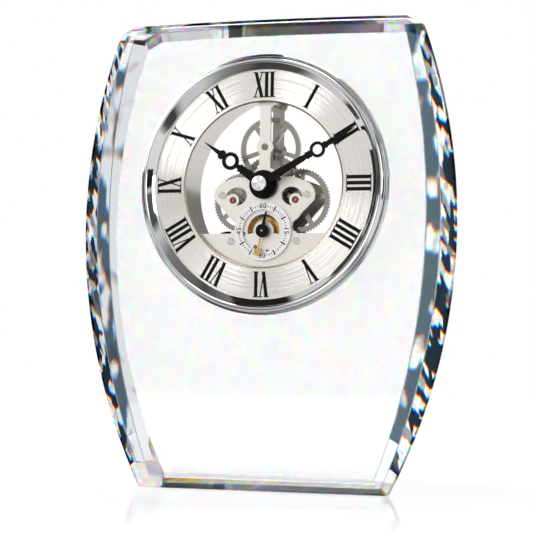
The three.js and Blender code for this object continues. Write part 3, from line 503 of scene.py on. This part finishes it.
# The seconds dial: a thin ring, lacquered white and fixed on the front plate's foot.
# It is printed in black with a bold line each five seconds, a fine one each second, and four numbers.
seconds_white = plain("white seconds ring", (0.86, 0.85, 0.83), 0.5)
small_dial = turned("seconds_ring", [(8.6, -0.6), (11.9, -0.6), (11.9, 0.2), (8.6, 0.2)], seconds_white, "case",
                    z=-SECONDS_DROP, steps=128)
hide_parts("seconds_dial")
bold_line = (0.26, 8.9, 11.1)
fine_line = (0.13, 9.6, 10.3)
line_face = -0.63
line_back = -0.55
marks = bmesh.new()
for second in range(60):
    if second % 15 == 0:
        continue
    wide, low, high = bold_line if second % 5 == 0 else fine_line
    corners = [(-wide, low), (wide, low), (wide, high), (-wide, high)]
    stroke(marks, corners, line_face, line_back, math.radians(6 * second), 0, seconds_height)
second_marks = piece("seconds_marks", marks, ink, "case")
number_ring = 10.0
number_height = 3.0
number_depth = 0.02
number_middle = -0.61
# Each number, its place on the ring and its own turn in degrees.
numbers = [("60", 0, 0), ("15", 90, 90), ("30", 180, 0), ("45", 270, -90)]
for word, where, turn in numbers:
    angle = math.radians(where)
    text = bpy.data.curves.new("seconds_" + word, "FONT")
    text.body = word
    text.size = number_height * MM
    text.align_x = "CENTER"
    text.align_y = "CENTER"
    text.extrude = number_depth * MM
    shown = bpy.data.objects.new("seconds_" + word, text)
    bpy.context.scene.collection.objects.link(shown)
    flat = bpy.data.meshes.new_from_object(shown.evaluated_get(bpy.context.evaluated_depsgraph_get()))
    bpy.data.objects.remove(shown)
    flat.name = "seconds_" + word
    centre = Matrix.Translation((number_ring * MM * math.sin(angle), (FRONT + number_middle) * MM,
                                 seconds_height * MM + number_ring * MM * math.cos(angle)))
    flat.transform(centre @ Matrix.Rotation(math.radians(turn), 4, "Y") @ Matrix.Rotation(math.pi / 2, 4, "X"))
    number = bpy.data.objects.new("seconds_" + word, flat)
    bpy.context.scene.collection.objects.link(number)
    flat.materials.clear()
    flat.materials.append(ink)
    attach(number, "case")

# The floor: a pale, slightly glossy table top, seen as white and lit to a clean white away from the clock.
# Near the foot it keeps the clock's soft reflection.


def seen_by_eye_or_mirror(paint):
    """1 for what the camera sees, also in a mirror or through glass, and 0 for the light that falls on things."""
    camera_ray, mirror_ray, glass_ray = [paint.node("LightPath", None, out="Is %s Ray" % kind)
                                         for kind in ("Camera", "Glossy", "Transmission")]
    return camera_ray.at_least(mirror_ray.at_least(glass_ray))


floor_half = 3
floor_top = -0.0002
near_white = 0.42
fade_from = 0.1
fade_per_metre = 3.5
floor_white = 1.16
floor_mesh = bmesh.new()
bmesh.ops.create_grid(floor_mesh, x_segments=1, y_segments=1, size=floor_half)
bmesh.ops.translate(floor_mesh, verts=floor_mesh.verts, vec=(0, 0, floor_top))
floor_paint = Paint(bpy.data.materials.new("pale floor"))
table_top = floor_paint.node("BsdfPrincipled", None, Base_Color=(0.95, 0.95, 0.95, 1), Roughness=0.06, IOR=1.28)
lit_white = floor_paint.node("Emission", None, (1, 1, 1, 1), floor_white)
away = floor_paint.node("VectorMath", {"operation": "LENGTH"}, floor_paint.node("TexCoord", None, out="Object"),
                        out="Value")
white_share = floor_paint.node("Math", {"operation": "ADD", "use_clamp": True},
                               (away - fade_from) * fade_per_metre, near_white).at_least(near_white)
floor = put("floor", floor_mesh, floor_paint.finish(floor_paint.node(
    "MixShader", None, seen_by_eye_or_mirror(floor_paint) * white_share, table_top, lit_white)))

# The surround: an even white studio, a little dimmer as a light than it looks.
light_level = 0.6
world = bpy.data.worlds.new("white studio")
bpy.context.scene.world = world
sky = Paint(world)
strength = seen_by_eye_or_mirror(sky) * (1 - light_level) + light_level
sky.finish(sky.node("Background", None, (1, 1, 1, 1), strength), "OutputWorld")

# The tent: a wide tube of white and dark strips round the clock, out of the camera's sight.
# Its strips run front to back, so the chrome and the crystal's edges show them as streaks.
# Through the glass it is never darker than pale grey.


def glowing(paint, shade):
    """A dull black face that glows with its shade."""
    return paint.node("BsdfPrincipled", None, Base_Color=(0, 0, 0, 1), Roughness=1.0, Emission_Color=shade,
                      Emission_Strength=1.0)


tent_radius = 1.5
tent_sides = 96
tent_front, tent_back = -1.5, 0.6
tent_through_glass = 0.8
tent_mesh = bmesh.new()
rings = []
for y in (tent_front, tent_back):
    turns = [2 * math.pi * i / tent_sides for i in range(tent_sides)]
    ring = [tent_mesh.verts.new((tent_radius * math.sin(a), y, DIAL_HEIGHT * MM + tent_radius * math.cos(a)))
            for a in turns]
    rings.append([tent_mesh.edges.new((a, b)) for a, b in zip(ring, ring[1:] + ring[:1])])
bmesh.ops.bridge_loops(tent_mesh, edges=rings[0] + rings[1])
# Each strip's place, as a share of the turn from the floor up the left side and over the top, and its grey.
strips = [(0.0, 0.7), (0.035, 0.9), (0.042, 0.03), (0.09, 0.04), (0.1, 1.0), (0.13, 0.9), (0.14, 0.06),
          (0.185, 0.04), (0.19, 0.7), (0.2, 0.04), (0.3, 0.02), (0.305, 0.7), (0.315, 0.06), (0.355, 0.05),
          (0.362, 1.0), (0.4, 0.9), (0.408, 0.01), (0.475, 0.02), (0.482, 0.3), (0.52, 0.1), (0.54, 0.2),
          (0.6, 0.3), (0.64, 0.95), (0.66, 0.1), (0.715, 0.15), (0.722, 1.0), (0.73, 0.01), (0.775, 0.02),
          (0.785, 1.0), (0.8, 0.15), (0.87, 0.9), (1.0, 0.7)]
tent_paint = Paint(bpy.data.materials.new("tent strips"))
tent_place = tent_paint.node("TexCoord", None, out="Object")
tent_x = tent_paint.node("SeparateXYZ", None, tent_place, out="X")
tent_z = tent_paint.node("SeparateXYZ", None, tent_place, out="Z")
tent_turn = tent_paint.node("Math", {"operation": "ARCTAN2"}, tent_x, tent_z - DIAL_HEIGHT * MM)
turn_share = tent_turn / (2 * math.pi)
tent_strip = tent_paint.node("ValToRGB", {"stops": [(place, (grey, grey * 1.01, grey * 1.03))
                                                    for place, grey in strips]}, turn_share + 0.5)
pale_grey = tent_paint.node("LightPath", None, out="Is Transmission Ray") * tent_through_glass
tent_shade = tent_paint.node("VectorMath", {"operation": "MAXIMUM"}, tent_strip, pale_grey)
tent = put("tent", tent_mesh, tent_paint.finish(glowing(tent_paint, tent_shade)))
tent.visible_camera = False

# Three cards that only the metal mirrors, each with one face: a pale one behind the camera for the flat dial
# and plates, a streaked one low in front for the bezel's upper slope, and a dark one high behind the clock
# for the lower part of the cup's wall.


def one_shade(colour):
    return [(0, colour), (1, colour)]


def card(name, corners, stops):
    """A card whose shade runs from its first corner to its second."""
    mesh = bmesh.new()
    mesh.faces.new([mesh.verts.new(corner) for corner in corners])
    paint = Paint(bpy.data.materials.new(name + " grey"))
    start, end = corners[0][0], corners[1][0]
    across = paint.node("SeparateXYZ", None, paint.node("TexCoord", None, out="Object"))
    shade = paint.node("ValToRGB", {"stops": stops}, (across - start) / (end - start))
    from_behind = paint.node("NewGeometry", None, out="Backfacing")
    made = put(name, mesh, paint.finish(paint.node(
        "MixShader", None, from_behind, glowing(paint, shade), paint.node("BsdfTransparent"))))
    made.visible_camera = False
    made.visible_transmission = False
    made.visible_shadow = False
    made.visible_diffuse = False


card("front_card", [(0.05, -1.3, -0.1), (-0.95, -1.0, -0.1), (-0.95, -1.0, 0.7), (0.05, -1.3, 0.7)],
     one_shade((0.68, 0.665, 0.645)))
low_streaks = [(0.0, 0.3), (0.08, 0.05), (0.2, 0.06), (0.27, 0.95), (0.43, 0.9), (0.5, 0.1), (0.6, 0.06),
               (0.68, 0.4), (0.73, 0.95), (0.8, 0.9), (0.85, 0.05), (0.93, 0.1), (1.0, 0.9)]
card("floor_card", [(-0.45, -0.3, 0.002), (0.2, -0.3, 0.002), (0.2, -0.06, 0.002), (-0.45, -0.06, 0.002)],
     [(place, (grey, grey, grey * 1.02)) for place, grey in low_streaks])
card("rear_card", [(-0.1, 0.8, 0.2), (0.7, 0.8, 0.2), (0.7, 0.8, 0.75), (-0.1, 0.8, 0.75)],
     one_shade((0.3, 0.285, 0.27)))

# Three soft square lamps, aimed at the dial: a large one at the left, one above and one at the right.
# On the brushed dial each makes a bright fan and its opposite.
lamp_aim = Vector((0, 0, 0.12))


def lamp(name, place, width, power):
    light = bpy.data.lights.new(name, "AREA")
    light.shape = "RECTANGLE"
    light.size = light.size_y = width
    light.energy = power
    made = bpy.data.objects.new(name, light)
    bpy.context.scene.collection.objects.link(made)
    made.location = place
    made.rotation_euler = (lamp_aim - Vector(place)).to_track_quat("-Z", "Y").to_euler()


lamp("key lamp", (-0.94, -0.72, 0.65), 0.7, 5.5)
lamp("top lamp", (-0.1, -0.98, 0.97), 0.4, 3)
lamp("fill lamp", (0.68, -0.96, 0.33), 0.4, 1.5)

# The camera stands a little to the right of the clock and low, as the photograph's did.
# Its place, its angles and its focal length, in pixels of that picture, were fitted to the bezel and the
# outlines.
camera_place = (0.26205, -0.75875, 0.04753)
focal_pixels = 1975.67
picture_width = 533
side, up, roll = math.radians(19.29), math.radians(3.05), math.radians(0.98)
camera_data = bpy.data.cameras.new("camera")
camera_data.sensor_width = 36
camera_data.lens = focal_pixels * camera_data.sensor_width / picture_width
camera_data.clip_start = 0.01
camera = bpy.data.objects.new("camera", camera_data)
bpy.context.scene.collection.objects.link(camera)
ahead = Vector((-math.sin(side) * math.cos(up), math.cos(side) * math.cos(up), math.sin(up)))
right_hand = Vector((math.cos(side), math.sin(side), 0))
overhead = right_hand.cross(ahead)
picture_right = right_hand * math.cos(roll) + overhead * math.sin(roll)
picture_up = overhead * math.cos(roll) - right_hand * math.sin(roll)
view_turn = Matrix((picture_right, picture_up, -ahead)).transposed().to_4x4()
camera.matrix_world = Matrix.Translation(camera_place) @ view_turn
bpy.context.scene.camera = camera
bpy.context.scene.view_settings.view_transform = "Standard"
